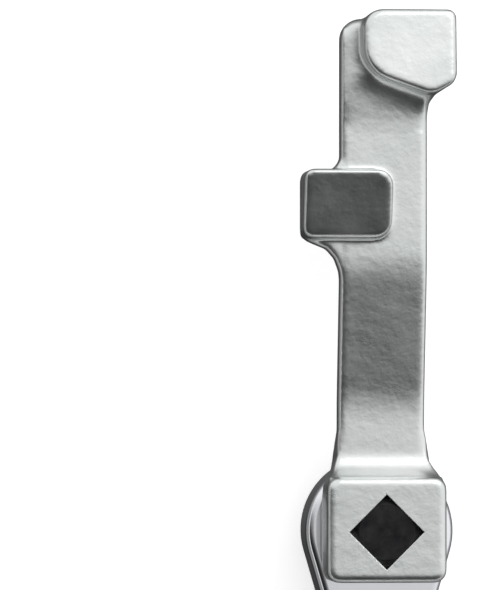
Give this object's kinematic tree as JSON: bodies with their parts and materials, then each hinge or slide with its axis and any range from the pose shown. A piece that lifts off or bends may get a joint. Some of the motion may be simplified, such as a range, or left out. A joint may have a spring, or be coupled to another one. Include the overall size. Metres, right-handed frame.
{
  "type": "fire hydrant wrench",
  "caption": "Offset cast spanner head with two lugs and a square socket, seated on a reversible ratchet handle with a knurled grip.",
  "frame": {"origin": "on the axis of the square drive, at the plane where the spanner head seats on the ratchet", "axes": "+Z along the drive axis towards the lug side, +Y along the arm towards the far lug, the handle lying along -Y, +X to the right when the lugs face the viewer"},
  "size_m": [0.0384, 0.3613, 0.0444],
  "materials": {
    "cast_steel": "investment-cast steel, shot blasted, satin with fine pitting",
    "chrome": "polished chrome plate",
    "satin_chrome": "satin chrome plate",
    "black_steel": "black oxide, light oil",
    "spring_steel": "hardened, dull grey",
    "bright_steel": "ground bright",
    "bronze": "oiled bearing bronze",
    "seal_rubber": "black nitrile rubber"
  },
  "bodies": {
    "handle": {"ratchet_body": "chrome", "cover_plate": "satin_chrome", "cover_screws": "black_steel", "front_seal": "seal_rubber", "pawl_pin": "bright_steel", "grip_collar": "seal_rubber", "grip_sleeve": "satin_chrome", "end_cap": "chrome", "cap_pin": "bright_steel"},
    "drive": {"drive_gear": "black_steel", "thrust_washer": "bronze", "button_clip": "spring_steel", "release_spring": "spring_steel"},
    "wrench": {"wrench_head": "cast_steel"},
    "button": {"release_button": "satin_chrome"},
    "ball": {"detent_ball": "bright_steel"},
    "pawl": {"pawl": "spring_steel"},
    "selector": {"selector_shaft": "spring_steel", "selector_lever": "satin_chrome", "selector_screw": "black_steel", "selector_plunger": "bright_steel", "selector_spring": "spring_steel"}
  },
  "joints": [
    {"name": "drive_turn", "type": "hinge", "parent": "handle", "child": "drive", "pos_m": [0, 0, -0.01], "axis": [0, 0, 1], "continuous": true},
    {"name": "head_pull_off", "type": "slide", "parent": "drive", "child": "wrench", "axis": [0, 0, 1], "range_m": [0, 0.02]},
    {"name": "release_press", "type": "slide", "parent": "drive", "child": "button", "axis": [0, 0, 1], "range_m": [0, 0.0024], "stiffness_N_per_m": 800, "springref_m": -0.003, "deforming": ["release_spring"]},
    {"name": "ball_retract", "type": "slide", "parent": "drive", "child": "ball", "axis": [-0.7071, -0.7071, 0], "range_m": [0, 0.0006]},
    {"name": "lever_flip", "type": "hinge", "parent": "handle", "child": "selector", "pos_m": [0, -0.0218, -0.015], "axis": [0, 0, 1], "range_deg": [-50, 0]},
    {"name": "pawl_rock", "type": "hinge", "parent": "handle", "child": "pawl", "pos_m": [0, -0.0146, -0.01], "axis": [0, 0, 1], "range_deg": [0, 9]}
  ],
  "couplings": [
    {"joint": "ball_retract", "follows": "release_press", "ratio": 0.25},
    {"joint": "pawl_rock", "follows": "lever_flip", "ratio": -0.18}
  ]
}
